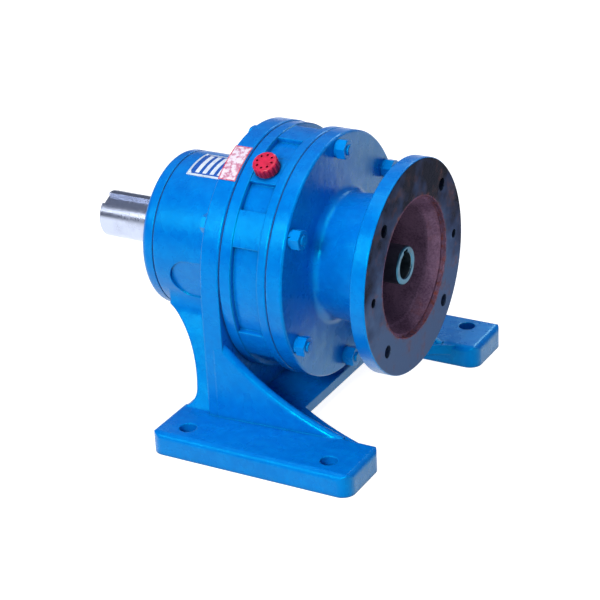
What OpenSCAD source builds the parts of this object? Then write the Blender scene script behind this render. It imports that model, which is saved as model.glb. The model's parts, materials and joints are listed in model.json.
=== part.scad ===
// Foot-mounted cycloidal gear reducer with a bell flange for an electric motor.
// Origin: middle of the four foot holes, on the underside of the feet.
// +X runs along the shafts, from the output end towards the motor; +Z is up.

/* [Feet] */
// Height of the shaft axis above the floor
centre_height = 150; // [146:1:165]
// Length of each foot pad along the shaft
foot_len = 204; // [190:1:212]
// Width over both foot pads
foot_span = 330; // [325:1:345]
// Width of one foot pad
foot_w = 63; // [60:1:66]
// Thickness of the foot pads
foot_t = 22; // [18:1:26]
// Foot hole spacing along the shaft
hole_pitch_x = 145; // [135:1:155]
// Foot hole spacing across the shaft
hole_pitch_y = 290; // [285:1:294]
// Diameter of the foot holes
foot_hole_d = 16; // [12:0.5:18]
// Radius of the pad corners seen from above
pad_corner_r = 12; // [7:1:18]
// Rounding of the top edges of the pads
pad_edge_r = 6; // [1:0.5:7]

/* [Base casting] */
// Distance of the ring joint from the middle of the feet, towards the output end
joint_offset = 49; // [44:1:54]
// Diameter of the round part of the base flange
base_d = 231; // [229:1:236]
// Thickness of the base flange and of the leg plate under it
base_disc_t = 18.5; // [17.5:0.5:22]
// Outer diameter of the output bearing barrel
barrel_d = 148; // [142:1:152]
// Length of the output bearing barrel
barrel_len = 77; // [73:1:90]
// Fillet between barrel and base flange
barrel_fillet = 7; // [3:1:9]
// Thickness of the plate that joins the two pads
cross_plate_t = 10; // [7:1:14]
// Depth of the joining plate's top below the top of the pads
plate_drop = 1.2; // [0.5:0.1:2]
// How far the joining plate reaches in front of the middle of the feet
cross_plate_front = 5; // [-5:1:20]
// Half width of the joining plate at its front edge
cross_plate_half = 65; // [55:1:75]
// Radius of the curve from the joining plate to the pad
flare_r = 420; // [200:10:800]
// Thickness of the side gussets
gusset_t = 10; // [6:0.5:14]
// Height of the gusset where it meets the leg plate
gusset_top = 95; // [80:1:100]
// Reach of the gusset in front of the leg plate
gusset_reach = 115; // [95:1:130]
// Radius of the hollow curve of the gusset edge
gusset_r = 270; // [160:5:600]
// Inward turn of the gussets, in degrees
gusset_toe_in = 3.5; // [0:0.5:6]
// Thickness of the slanted rear webs
web_t = 11; // [8:0.5:15]
// Slant of the rear webs from the vertical, in degrees
web_slant = 31; // [27:0.5:33]
// Fillet between the rear webs and the barrel
web_fillet = 25; // [10:1:32]
// Rear edge of the webs at the narrow point, behind the middle of the feet
web_waist = 88; // [82:1:92]
// Fillet between the rear edge of the webs and the pads
web_heel_r = 12; // [6:1:16]
// Radius of the hollow rear edge of the webs
web_edge_r = 110; // [95:5:150]
// Slant of the rear edge from the vertical where it leaves the fillet, in degrees
web_lean = 16; // [8:1:24]
// Reach of the webs under the barrel, from the base flange
web_reach = 68; // [58:1:72]
// Width of the cast flat on each side of the barrel
side_flat_w = 40; // [20:1:46]
// Distance of the side flats from the barrel's end
side_flat_end = 16.5; // [10:0.5:24]
// Angle of the side flats from the top, in degrees
side_flat_angle = 105; // [98:1:110]

/* [Pin ring housing] */
// Outer diameter of the ring housing and of the cover
ring_d = 229; // [227:1:231]
// Depth of the cast pockets in the rim of the ring housing
pocket_depth = 5.5; // [3:0.5:6]
// Rim left behind the pockets, at the output side
pocket_rear_rim = 12; // [8:0.5:15]
// Rim left in front of the pockets, at the motor side
pocket_front_rim = 9; // [6:0.5:12]
// Depth of the band between the two rims
land_drop = 0.8; // [0.4:0.1:1.5]
// Half angle of the solid land round each tie bolt, in degrees
land_half = 8.5; // [7:0.5:12]
// Half angle of the boss for the breather or the drain, in degrees
boss_half = 7.5; // [6.5:0.5:9]
// Bore diameter of the space for the ring pin sleeves
chamber_d = 184; // [183:0.5:188]
// Diameter of the registers that centre the castings on each other
register_d = 186; // [185:0.5:190]
// Depth of each register
register_h = 2.5; // [1.5:0.25:4]
// Thickness of the rims that hold the ring pins
rim_w = 5; // [4:0.5:8]

/* [Cover and motor flange] */
// Thickness of the cover disc
cover_t = 16; // [13:0.5:20]
// Length of the bell from the cover disc to the motor face
bell_len = 74; // [68:1:90]
// Diameter of the motor flange
flange_d = 200; // [195:1:210]
// Thickness of the motor flange
flange_t = 15; // [10:0.5:18]
// Diameter of the recess for the motor's spigot
spigot_d = 130; // [126:1:134]
// Depth of the recess for the motor's spigot
spigot_depth = 4; // [2.5:0.5:6]
// Pitch circle diameter of the motor bolts
motor_pcd = 165; // [160:1:172]
// Diameter of the motor bolt holes
motor_hole_d = 12; // [9:0.5:14]
// Diameter of the two jacking screw holes
jack_hole_d = 8.5; // [6:0.5:10]
// Outer radius of the bell next to the cover disc
neck_rear_r = 58.5; // [57:0.5:60]
// Outer radius of the bell next to the motor flange
neck_front_r = 62.5; // [61:0.5:65]
// Wall of the bell
bell_wall = 7.5; // [5:0.5:8]
// Fillet between bell and cover disc
neck_fillet = 8; // [3:1:12]

/* [Output end cap] */
// Thickness of the output end cap
cap_t = 12.5; // [11:0.5:16]
// Rounding of the end cap's outer edge
cap_round_r = 6; // [2:0.5:8]

/* [Output shaft] */
// Diameter of the output shaft's free end
out_d = 45; // [35:1:48]
// Free length of the output shaft
out_ext = 82; // [70:1:110]
// Diameter of the shaft under the output seal
out_seal_d = 50; // [49:0.5:52]
// Diameter of the shaft under its bearings
out_journal_d = 55; // [54:0.5:56]
// Width of the output keyway
out_key_w = 14; // [10:1:16]
// Depth of the output keyway
out_key_depth = 5.5; // [3:0.5:6]
// Length of the output keyway, open at the shaft's end
out_key_len = 66; // [40:1:68]
// Angle of the output keyway from the top towards -Y, in degrees
out_key_angle = 25; // [0:5:90]
// Radius of the flange that carries the output pins
carrier_r = 64; // [62:0.5:65]
// Thickness of the flange that carries the output pins
carrier_t = 16; // [15.5:0.5:17]

/* [Input shaft] */
// Outer diameter of the hollow motor hub
hub_d = 36; // [34:0.5:38]
// Bore of the hollow motor hub
hub_bore_d = 24; // [19:1:24]
// Depth of the bore of the motor hub
hub_bore_len = 58; // [45:1:60]
// Distance of the hub's end behind the motor face
hub_setback = 9; // [4:1:14]
// Width of the keyway in the hub
hub_key_w = 8; // [5:1:8]
// Depth of the keyway in the hub
hub_key_depth = 3.3; // [2:0.1:3.5]
// Diameter of the input shaft under the eccentric sleeve
ecc_seat_d = 35; // [32:0.5:36]

/* [Cycloid drive] */
// Number of lobes of each cycloid disc, an odd number: one turn out for this many in
lobes = 17; // [11:2:17]
// Radius of the circle of ring pins
pin_circle_r = 82.5; // [81.5:0.25:83]
// Diameter of the ring pins
ring_pin_d = 11; // [9:0.5:11]
// Outer diameter of the sleeves on the ring pins
ring_sleeve_d = 17; // [16:0.5:18]
// Eccentricity of the two discs
ecc = 3; // [2:0.1:3]
// Thickness of one cycloid disc
disc_t = 13; // [12:0.5:16]
// Space between the two discs
disc_gap = 4; // [3:0.5:6]
// Number of output pins, an even number
out_pins = 10; // [6:2:10]
// Radius of the circle of output pins
out_pin_circle_r = 52; // [51:0.25:53]
// Diameter of the output pins
out_pin_d = 12; // [9:0.5:13]
// Outer diameter of the rollers on the output pins
out_roller_d = 17; // [15:0.5:17]
// Radius of the eccentric journals
ecc_journal_r = 25; // [24:0.25:25.5]
// Diameter of the bearing rollers inside each disc
needle_d = 9; // [7:0.25:9]
// Number of bearing rollers inside each disc
needles = 14; // [8:1:16]

/* [Bearings and seals] */
// Outer diameter of the two output shaft bearings
out_brg_d = 100; // [94:1:104]
// Width of each output shaft bearing
out_brg_w = 21; // [18:0.5:24]
// Bore of the input shaft bearing
in_brg_bore = 40; // [39:0.5:42]
// Outer diameter of the input shaft bearing
in_brg_d = 80; // [74:1:84]
// Width of the input shaft bearing
in_brg_w = 18; // [16:0.5:20]
// Bore of the pilot bearing between the two shafts
pilot_bore = 25; // [20:0.5:26]
// Outer diameter of the pilot bearing
pilot_d = 52; // [46:0.5:54]
// Width of the pilot bearing
pilot_w = 15; // [12:0.5:15]
// Width of both oil seals
seal_w = 8; // [6:0.5:9]
// Outer diameter of the output oil seal
out_seal_od = 72; // [68:0.5:76]
// Outer diameter of the input oil seal
in_seal_od = 55; // [50:0.5:58]

/* [Fasteners] */
// Thread diameter of the tie bolts
tie_d = 10; // [8:0.5:10]
// Pitch circle radius of the tie bolts
tie_circle_r = 103.5; // [102.5:0.25:104]
// Width across flats of the tie bolt heads and nuts
tie_af = 17; // [14:0.5:18]
// Thread diameter of the end cap screws
cap_screw_d = 8; // [5:0.5:8]
// Length of the end cap screws
cap_screw_len = 25; // [18:1:32]

/* [Breather, drain and nameplate] */
// Diameter of the breather cap
vent_d = 23.5; // [20:0.5:26]
// Height of the breather cap
vent_h = 12; // [8:0.5:16]
// Thread diameter of the breather and of the drain plug
plug_thread_d = 13; // [10:0.5:16]
// Angle of the breather from the top towards -Y, in degrees
vent_angle = 30; // [27:0.5:33]
// Length of the nameplate along the shaft
plate_len = 52; // [40:1:56]
// Width of the nameplate round the barrel
plate_w = 38; // [30:1:44]
// Angle of the middle of the nameplate from the top towards -Y, in degrees
plate_angle = 9; // [0:1:20]

/* [Fits] */
// Thickness of the paper gaskets
gasket_t = 0.5; // [0.3:0.1:1]
// Radial clearance of running fits
run_gap = 0.05; // [0.02:0.01:0.08]
// Radial clearance of seated fits
seat_gap = 0.02; // [0.01:0.01:0.03]
// Clearance of the rolling contacts of the drive
mesh_gap = 0.2; // [0.15:0.05:0.4]
// Axial clearance between turning and standing faces
side_gap = 1; // [0.6:0.1:1.5]

/* [Hidden] */
$fn = 96;
slack = 1;            // overlap of cutting tools with what they cut
tie_count = 6;
cap_screw_count = 6;
edge = 1;             // small machined chamfer
pins = lobes + 1;

// Stations along the shafts, from the ring joint outwards
base_face = -joint_offset;
base_back = base_face - base_disc_t;
barrel_back = base_back - barrel_len;
cap_front = barrel_back - gasket_t;
cap_back = cap_front - cap_t;
seal_recess = 1;
out_seal_back = cap_back + seal_recess;
out_seal_front = out_seal_back + seal_w;
shaft_tip = cap_back - out_ext;
ring_w = 2 * (register_h + rim_w + side_gap + disc_t) + disc_gap;
ring_back = base_face + gasket_t;
ring_front = ring_back + ring_w;
ring_mid = (ring_back + ring_front) / 2;
register_gap = 0.2;
pin_back = ring_back + register_h;
pin_front = ring_front - register_h;
chamber_back = pin_back + rim_w;
chamber_front = pin_front - rim_w;
cover_back = ring_front + gasket_t;
cover_face = cover_back + cover_t;
motor_face = cover_face + bell_len;
flange_back = motor_face - flange_t;
hub_end = motor_face - hub_setback;

// The drive inside
disc_a_mid = ring_mid - (disc_t + disc_gap) / 2;
disc_b_mid = ring_mid + (disc_t + disc_gap) / 2;
ring_pin_r = ring_pin_d / 2;
sleeve_r = ring_sleeve_d / 2;
roller_r = out_roller_d / 2;
needle_r = needle_d / 2;
needle_circle_r = ecc_journal_r + needle_r;
disc_bore_r = ecc_journal_r + needle_d + mesh_gap / 2;
disc_reach = pin_circle_r - sleeve_r + 2 * ecc;
rim_bore_r = disc_reach + 0.7;
carrier_front = chamber_back - 2 * side_gap;
carrier_back = carrier_front - carrier_t;
pocket_floor = carrier_back - 2 * side_gap;
carrier_pocket_r = carrier_r + 2.5;
collar_w = 4;
front_brg = carrier_back - collar_w;
rear_brg = barrel_back + 3.5;
bore_step = 4.5;
snap_t = 1.8;
snap_depth = 1.5;
snap_reach = 3.5;

// The input shaft
in_brg_back = pin_front;
in_brg_front = in_brg_back + in_brg_w;
in_collar_w = 5;
in_collar_r = in_brg_bore / 2 + 2.5;
in_relief = 2;
in_seal_back = in_brg_front + in_relief + 2.3;
in_seal_front = in_seal_back + seal_w;
seal_boss_front = in_seal_front + 0.2;
seal_boss_r = in_seal_od / 2 + 6.5;
bell_floor = seal_boss_front - 3.5;
brg_boss_r = in_brg_d / 2 + 10;
sleeve_front = in_brg_back - in_collar_w;
sleeve_back = disc_a_mid - disc_t / 2 - 0.8 * side_gap;
pilot_back = carrier_front - pilot_w - 0.5;
pilot_front = pilot_back + pilot_w;
key_w = 10;
key_h = 8;
key_len = 22;
shaft_keyway = 5;

// Plugs
vent_stem = 10;
washer_t = 1.5;
drain_angle = vent_angle + 180;
drain_af = 17;

// Points along a circular arc from step first to step n, angles in degrees
function arc(c, r, a0, a1, n = 10, first = 0) =
    [for (i = [first:n]) let (a = a0 + (a1 - a0) * i / n) c + r * [cos(a), sin(a)]];

// Centre of the arc of radius r from p to q that lies to the left of the way from p to q
function arc_centre(p, q, r) =
    let (d = q - p, half = norm(d) / 2, h = sqrt(r * r - half * half))
    (p + q) / 2 + h * [-d[1], d[0]] / norm(d);

function direction(v) = atan2(v[1], v[0]);

// Half the angle that a width w takes on a round of diameter d
function half_angle(w, d) = w / d * 180 / PI;

// Edge of a cycloid disc: the path of a ring pin seen from the disc, moved in by the sleeve
function lobe_point(t, r_in) =
    let (n = pins,
         p = [pin_circle_r * cos(t) - ecc * cos(n * t), pin_circle_r * sin(t) - ecc * sin(n * t)],
         d = [-pin_circle_r * sin(t) + ecc * n * sin(n * t),
              pin_circle_r * cos(t) - ecc * n * cos(n * t)])
    p + r_in * [-d[1], d[0]] / norm(d);

// The steps are closer together in the valleys, where the edge turns fastest
function disc_outline(steps = 20, crowd = 0.8) =
    [for (i = [0:lobes * steps - 1]) let (t = 360 * i / (lobes * steps))
        lobe_point(t - crowd * sin(lobes * t) / lobes * 180 / PI, sleeve_r + mesh_gap)];

// Shaft frame: z along the shafts, angles from the top (x) towards the -Y side (y)
module on_axis() {
    translate([0, 0, centre_height]) rotate([0, 90, 0]) rotate([0, 0, 180]) children();
}

module from(z0) {
    translate([0, 0, z0]) children();
}

module polar(n, r, first = 0) {
    for (i = [0:n - 1]) rotate([0, 0, first + i * 360 / n]) translate([r, 0, 0]) children();
}

// A plain round length of shaft or bore from z0 to z1
module rod(r, z0, z1) {
    from(z0) cylinder(r = r, h = z1 - z0);
}

module tube(r_in, r_out, z0, z1) {
    rotate_extrude() polygon([[r_in, z0], [r_out, z0], [r_out, z1], [r_in, z1]]);
}

module hexagon(af, z0, z1) {
    from(z0) cylinder(r = af / sqrt(3), h = z1 - z0, $fn = 6);
}

// Hexagon whose corners are turned off at the end z1, z0 < z1 or z0 > z1
module turned_hexagon(af, z0, z1) {
    low = min(z0, z1);
    high = max(z0, z1);
    r = af / sqrt(3);
    cut = r - af / 2;
    body = z1 > z0 ? [[0, low], [r, low], [r, high - cut * 0.6], [af / 2, high], [0, high]]
                   : [[0, low], [af / 2, low], [r, low + cut * 0.6], [r, high], [0, high]];
    intersection() {
        hexagon(af, low, high);
        rotate_extrude() polygon(body);
    }
}

module mirrored_y() {
    children();
    mirror([0, 1, 0]) children();
}

module rounded_rect(size, r) {
    w = size[0];
    h = size[1];
    square([w - 2 * r, h], center = true);
    square([w, h - 2 * r], center = true);
    for (x = [-1, 1], y = [-1, 1]) translate([x * (w / 2 - r), y * (h / 2 - r)]) circle(r = r);
}

// Outline of a slab seen from its end, standing on y = 0 with rounded top corners
module slab_end(w, h, r) {
    translate([-w / 2, 0]) square([w, h - r]);
    translate([-w / 2 + r, 0]) square([w - 2 * r, h]);
    for (x = [-1, 1]) translate([x * (w / 2 - r), h - r]) circle(r = r);
}

// ---- Base casting -------------------------------------------------------------------

pad_y = (foot_span - foot_w) / 2;
pad_inner = foot_span / 2 - foot_w;
plate_bottom = foot_t - plate_drop - cross_plate_t;
leg_half = base_d / 2;

module foot_pad() {
    translate([0, -pad_y, 0]) intersection() {
        linear_extrude(foot_t) rounded_rect([foot_len, foot_w], pad_corner_r);
        rotate([90, 0, 0]) translate([0, 0, -foot_w / 2]) linear_extrude(foot_w)
            slab_end(foot_len, foot_t, pad_edge_r);
        rotate([90, 0, 90]) translate([0, 0, -foot_len / 2]) linear_extrude(foot_len)
            slab_end(foot_w, foot_t, pad_edge_r);
    }
}

// Plate that joins the pads, with its front edge curving out to them
module cross_plate() {
    inner = [cross_plate_front, -cross_plate_half];
    outer = [foot_len / 2 - pad_corner_r, -pad_inner - pad_edge_r];
    sunk = -pad_inner - pad_edge_r - slack;
    c = arc_centre(inner, outer, flare_r);
    edge_line = arc(c, flare_r, direction(inner - c), direction(outer - c));
    translate([0, 0, plate_bottom]) linear_extrude(cross_plate_t) polygon(concat(
        edge_line, [[outer[0], sunk], [base_back + 1, sunk],
                    [base_back + 1, slack], [cross_plate_front, slack]]));
}

// Gusset between leg plate and pad, its edge a hollow curve with a round bead
module gusset() {
    bead = gusset_t / 2;
    top = [0, gusset_top];
    toe = [gusset_reach, foot_t];
    c = arc_centre(toe, top, gusset_r) * -1 + toe + top;
    a0 = direction(top - c) + 360;
    a1 = direction(toe - c) + 360;
    root = base_disc_t / 2;
    translate([base_face, -leg_half + bead, 0]) rotate([0, 0, gusset_toe_in]) rotate([90, 0, 0]) {
        translate([0, 0, -bead]) linear_extrude(gusset_t) polygon(concat(
            [[-root, plate_bottom], [-root, gusset_top - bead]],
            arc(c, gusset_r + bead, a0, a1, 16), [[gusset_reach, plate_bottom]]));
        translate(c) rotate([0, 0, a0]) rotate_extrude(angle = a1 - a0)
            translate([gusset_r + bead, 0]) circle(r = bead, $fn = 32);
    }
}

// Cross section of the pedestal of the barrel: two slanted webs under a round blend
module pedestal_section() {
    foot = [-leg_half + 5, foot_t];
    up = [sin(web_slant), cos(web_slant)];
    out = [-up[1], up[0]];
    axis = [0, centre_height];
    r = barrel_d / 2;
    d = foot + web_fillet * out - axis;
    s = -d * up - sqrt(pow(d * up, 2) - d * d + pow(r + web_fillet, 2));
    c = axis + d + s * up;
    low = foot - up * foot_t;
    side = concat([low], arc(c, web_fillet, direction(-out), direction(axis - c) , 12));
    difference() {
        polygon(concat(side, [axis], [for (i = [len(side) - 1:-1:0]) [-side[i][0], side[i][1]]]));
        polygon([low + [web_t / up[1], -slack], low + [web_t / up[1], 0] + up * centre_height,
                 [0, centre_height + slack],
                 [-low[0] - web_t / up[1] - up[0] * centre_height, up[1] * centre_height],
                 [-low[0] - web_t / up[1], -slack]]);
    }
}

// Side view of the webs: a hollow rear edge, drawn in above the pads and out under the barrel
module pedestal_side() {
    end_x = base_back - web_reach;
    heel_c = [-web_waist - web_heel_r, foot_t + web_heel_r];
    heel_x = max(heel_c[0], pad_edge_r - foot_len / 2);
    heel_a = -acos((heel_x - heel_c[0]) / web_heel_r);
    edge_c = heel_c - (web_edge_r - web_heel_r) * [cos(web_lean), sin(web_lean)];
    end_a = acos((end_x - edge_c[0]) / web_edge_r);
    polygon(concat([[base_back + 1, plate_bottom], [heel_x, plate_bottom]],
        arc(heel_c, web_heel_r, heel_a, web_lean, 8),
        arc(edge_c, web_edge_r, web_lean, end_a, 12, 1),
        [[end_x, centre_height], [base_back + 1, centre_height]]));
}

module pedestal() {
    intersection() {
        rotate([90, 0, 0]) translate([0, 0, -foot_span / 2]) linear_extrude(foot_span)
            pedestal_side();
        rotate([90, 0, 90]) translate([0, 0, barrel_back]) linear_extrude(barrel_len + 1)
            pedestal_section();
    }
}

// Round body of the base: register, flange, fillet and bearing barrel
module base_turning() {
    r = base_d / 2;
    b = barrel_d / 2;
    f = barrel_fillet;
    rotate_extrude() polygon(concat(
        [[0, barrel_back], [b - edge, barrel_back], [b, barrel_back + edge]],
        arc([b + f, base_back - f], f, 180, 90),
        [[r - edge, base_back], [r, base_back + edge], [r, base_face - edge],
         [r - edge, base_face], [register_d / 2 - seat_gap, base_face],
         [register_d / 2 - seat_gap, pin_back - register_gap], [0, pin_back - register_gap]]));
}

module base_housing() {
    brg_r = out_brg_d / 2;
    color("dodgerblue") difference() {
        union() {
            on_axis() base_turning();
            translate([base_back, -leg_half, plate_bottom])
                cube([base_disc_t, 2 * leg_half, centre_height - plate_bottom]);
            pedestal();
            mirrored_y() {
                foot_pad();
                cross_plate();
                gusset();
            }
        }
        on_axis() {
            rod(carrier_pocket_r, pocket_floor, base_face + slack + register_h);
            rod(brg_r + seat_gap, front_brg - out_brg_w, pocket_floor + slack);
            rod(brg_r - bore_step, rear_brg, front_brg);
            rod(brg_r + seat_gap, barrel_back - slack, rear_brg + out_brg_w);
            from(base_back - slack) polar(tie_count, tie_circle_r)
                cylinder(r = tie_d / 2 + 0.5, h = base_disc_t + 2 * slack);
            from(barrel_back - slack) polar(cap_screw_count, cap_screw_circle_r, 30)
                cylinder(r = cap_screw_d / 2 + seat_gap, h = cap_screw_len - cap_t + 5);
            side_flat(side_flat_angle);
            side_flat(-side_flat_angle);
        }
        for (x = [-1, 1], y = [-1, 1])
            translate([x * hole_pitch_x / 2, y * hole_pitch_y / 2, -slack])
                cylinder(r = foot_hole_d / 2, h = foot_t + 2 * slack);
    }
}

// Shallow flat with a round end on the side of the barrel
module side_flat(a) {
    r = barrel_d / 2;
    step = 0.4;
    depth = r * (1 - cos(asin(side_flat_w / barrel_d))) + step;
    far = barrel_back + side_flat_end + side_flat_w / 2;
    rotate([0, 0, a]) translate([r - depth, 0, 0]) rotate([0, 90, 0]) linear_extrude(depth + slack) {
        translate([-far, 0]) circle(r = side_flat_w / 2);
        translate([-base_back + barrel_fillet + 1, -side_flat_w / 2])
            square([base_back - barrel_fillet - 1 - far, side_flat_w]);
    }
}

// ---- Pin ring housing ---------------------------------------------------------------

band_step = 0.6;

// Pocket of the rim from angle a0 to a1
module rim_pocket(a0, a1) {
    r = ring_d / 2;
    rotate([0, 0, a0]) rotate_extrude(angle = a1 - a0) polygon([
        [r - pocket_depth, ring_back + pocket_rear_rim], [r + slack, ring_back + pocket_rear_rim],
        [r + slack, ring_front - pocket_front_rim], [r - pocket_depth, ring_front - pocket_front_rim]]);
}

module rim_pockets() {
    pitch = 360 / tie_count;
    for (i = [0:tie_count - 1]) {
        a0 = i * pitch + land_half;
        a1 = (i + 1) * pitch - land_half;
        if (i % (tie_count / 2) == 0) {
            rim_pocket(a0, i * pitch + vent_angle - boss_half);
            rim_pocket(i * pitch + vent_angle + boss_half, a1);
        } else rim_pocket(a0, a1);
    }
}

module pin_ring_housing() {
    r = ring_d / 2;
    band_r = r - land_drop;
    band_back = ring_back + pocket_rear_rim - band_step;
    band_front = ring_front - pocket_front_rim + band_step;
    color("dodgerblue") on_axis() difference() {
        rotate_extrude() polygon([
            [rim_bore_r, pin_back], [register_d / 2, pin_back], [register_d / 2, ring_back],
            [r - edge, ring_back], [r, ring_back + edge], [r, band_back], [band_r, band_back],
            [band_r, band_front], [r, band_front], [r, ring_front - edge],
            [r - edge, ring_front], [register_d / 2, ring_front], [register_d / 2, pin_front],
            [rim_bore_r, pin_front], [rim_bore_r, chamber_front],
            [chamber_d / 2, chamber_front], [chamber_d / 2, chamber_back],
            [rim_bore_r, chamber_back]]);
        from(pin_back - slack) polar(pins, pin_circle_r)
            cylinder(r = ring_pin_r + seat_gap, h = pin_front - pin_back + 2 * slack);
        from(ring_back - slack) polar(tie_count, tie_circle_r)
            cylinder(r = tie_d / 2 + 0.5, h = ring_w + 2 * slack);
        rim_pockets();
        for (a = [vent_angle, drain_angle]) rotate([0, 0, a]) translate([0, 0, ring_mid])
            rotate([0, 90, 0]) cylinder(r = plug_thread_d / 2 + seat_gap, h = r + slack);
        plug_seat(vent_angle);
        plug_seat(drain_angle);
    }
}

// Flat spot under a plug's washer
module plug_seat(a) {
    rotate([0, 0, a]) translate([plug_face, 0, ring_mid]) rotate([0, 90, 0])
        cylinder(r = plug_seat_r, h = 2 * slack);
}

plug_seat_r = 12;
plug_seat_cut = 0.3;
plug_face = sqrt(pow(ring_d / 2 - land_drop, 2) - pow(plug_seat_r, 2)) - plug_seat_cut;

// ---- Input cover --------------------------------------------------------------------

module cover_turning() {
    r = ring_d / 2;
    f = neck_fillet;
    brg_r = in_brg_d / 2;
    spigot_r = register_d / 2 - seat_gap;
    spigot_end = pin_front + register_gap;
    inner_rear = neck_rear_r - bell_wall - 1;
    inner_front = neck_front_r - bell_wall + 1;
    mouth = motor_face - spigot_depth;
    lip = 3;
    floor_r = 6;
    rotate_extrude() polygon(concat(
        [[brg_r + seat_gap, spigot_end], [brg_boss_r, spigot_end],
         [brg_boss_r, spigot_end + 6], [rim_bore_r - 4, spigot_end + 6],
         [rim_bore_r - 4, spigot_end], [spigot_r, spigot_end], [spigot_r, cover_back],
         [r - edge, cover_back], [r, cover_back + edge],
         [r, cover_face - 1.5 * edge], [r - 1.5 * edge, cover_face]],
        arc([neck_rear_r + f, cover_face + f], f, 270, 180),
        arc([neck_front_r + 5, flange_back - 5], 5, 180, 90, 6),
        [[flange_d / 2 - edge, flange_back], [flange_d / 2, flange_back + edge],
         [flange_d / 2, motor_face - edge], [flange_d / 2 - edge, motor_face],
         [spigot_d / 2, motor_face], [spigot_d / 2, mouth], [spigot_d / 2 - lip, mouth],
         [inner_front, flange_back - 2]],
        arc([inner_rear - floor_r, bell_floor + floor_r], floor_r, 0, -90, 6),
        [[seal_boss_r, bell_floor], [seal_boss_r, seal_boss_front - edge],
         [seal_boss_r - edge, seal_boss_front], [in_seal_od / 2 + seat_gap, seal_boss_front],
         [in_seal_od / 2 + seat_gap, in_seal_back], [in_seal_od / 2 - 2.5, in_seal_back],
         [in_seal_od / 2 - 2.5, in_brg_front + in_relief],
         [brg_r - 5, in_brg_front + in_relief], [brg_r - 5, in_brg_front],
         [brg_r + seat_gap, in_brg_front]]));
}

module input_cover() {
    color("dodgerblue") on_axis() difference() {
        cover_turning();
        from(cover_back - slack) polar(tie_count, tie_circle_r)
            cylinder(r = tie_d / 2 + 0.5, h = cover_t + 2 * slack);
        from(flange_back - slack) polar(4, motor_pcd / 2, 45)
            cylinder(r = motor_hole_d / 2, h = flange_t + 2 * slack);
        from(flange_back - slack) polar(2, motor_pcd / 2, 90)
            cylinder(r = jack_hole_d / 2, h = flange_t + 2 * slack);
    }
}

// ---- Output end cap and its screws --------------------------------------------------

cap_screw_circle_r = (out_brg_d + barrel_d) / 4;
cap_screw_head_r = cap_screw_d;

module output_end_cap() {
    r = barrel_d / 2;
    spigot_r = out_brg_d / 2 - seat_gap;
    ring_r = out_seal_od / 2 + 5;
    lip_r = out_seal_od / 2 - 4;
    color("dodgerblue") on_axis() difference() {
        rotate_extrude() polygon(concat(
            [[out_seal_od / 2 + seat_gap, cap_back]],
            arc([r - cap_round_r, cap_back + cap_round_r], cap_round_r, -90, 0, 8),
            [[r, cap_front], [spigot_r, cap_front], [spigot_r, rear_brg - register_gap],
             [ring_r, rear_brg - register_gap], [ring_r, cap_front], [lip_r, cap_front],
             [lip_r, out_seal_front], [out_seal_od / 2 + seat_gap, out_seal_front]]));
        from(cap_back) polar(cap_screw_count, cap_screw_circle_r, 30) countersink(seat_gap);
    }
}

// Countersunk head and shank, from the outer face inwards
module countersink(gap) {
    thread_r = cap_screw_d / 2 + gap;
    head_r = cap_screw_head_r + gap;
    rotate_extrude() polygon([[0, -slack], [head_r, -slack], [head_r, 0],
        [thread_r, head_r - thread_r], [thread_r, cap_screw_len], [0, cap_screw_len]]);
}

module end_cap_screws() {
    color("dimgray") on_axis() from(cap_back) polar(cap_screw_count, cap_screw_circle_r, 30)
        difference() {
            rotate_extrude() polygon([[0, 0], [cap_screw_head_r, 0],
                [cap_screw_d / 2, cap_screw_head_r - cap_screw_d / 2],
                [cap_screw_d / 2, cap_screw_len - edge], [cap_screw_d / 2 - edge, cap_screw_len],
                [0, cap_screw_len]]);
            hexagon(cap_screw_d * 0.6, -slack, cap_screw_d * 0.4);
        }
}

module gaskets() {
    r = ring_d / 2 - 0.5;
    color("dimgray") on_axis() {
        for (z = [base_face, ring_front]) difference() {
            tube(register_d / 2 + seat_gap, r, z, z + gasket_t);
            from(z - slack) polar(tie_count, tie_circle_r)
                cylinder(r = tie_d / 2 + 0.5, h = gasket_t + 2 * slack);
        }
        difference() {
            tube(out_brg_d / 2 + seat_gap, barrel_d / 2 - 0.5, cap_front, barrel_back);
            from(cap_front - slack) polar(cap_screw_count, cap_screw_circle_r, 30)
                cylinder(r = cap_screw_d / 2 + 0.3, h = gasket_t + 2 * slack);
        }
    }
}

// ---- Tie bolts ----------------------------------------------------------------------

tie_head_h = 6.5;
spring_washer_t = 2.4;
tie_nut_h = 8.4;
tie_tip = 2;
nut_seat = cover_face + spring_washer_t;

module tie_bolts() {
    tip = nut_seat + tie_nut_h + tie_tip;
    color("steelblue") on_axis() polar(tie_count, tie_circle_r) {
        rotate([0, 0, 30]) turned_hexagon(tie_af, base_back, base_back - tie_head_h);
        rotate_extrude() polygon([[0, base_back - slack], [tie_d / 2, base_back - slack],
            [tie_d / 2, tip - edge], [tie_d / 2 - edge, tip], [0, tip]]);
    }
}

// Split spring washers under the nuts
module spring_washers() {
    color("steelblue") on_axis() polar(tie_count, tie_circle_r) difference() {
        tube(tie_d / 2 + 0.2, tie_d * 0.85, cover_face, nut_seat);
        translate([tie_d * 0.65, 0, cover_face + spring_washer_t / 2]) rotate([25, 0, 0])
            cube([tie_d, 1, 3 * spring_washer_t], center = true);
    }
}

module tie_nuts() {
    color("steelblue") on_axis() polar(tie_count, tie_circle_r) difference() {
        rotate([0, 0, 12]) turned_hexagon(tie_af, nut_seat, nut_seat + tie_nut_h);
        rod(tie_d / 2 + seat_gap, nut_seat - slack, nut_seat + tie_nut_h + slack);
    }
}

// ---- Breather, drain, nameplate -----------------------------------------------------

// Frame of a plug in the rim: z points outwards from the plug's seat
module at_plug(a) {
    on_axis() rotate([0, 0, a]) translate([plug_face, 0, ring_mid]) rotate([0, 90, 0]) children();
}

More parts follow.
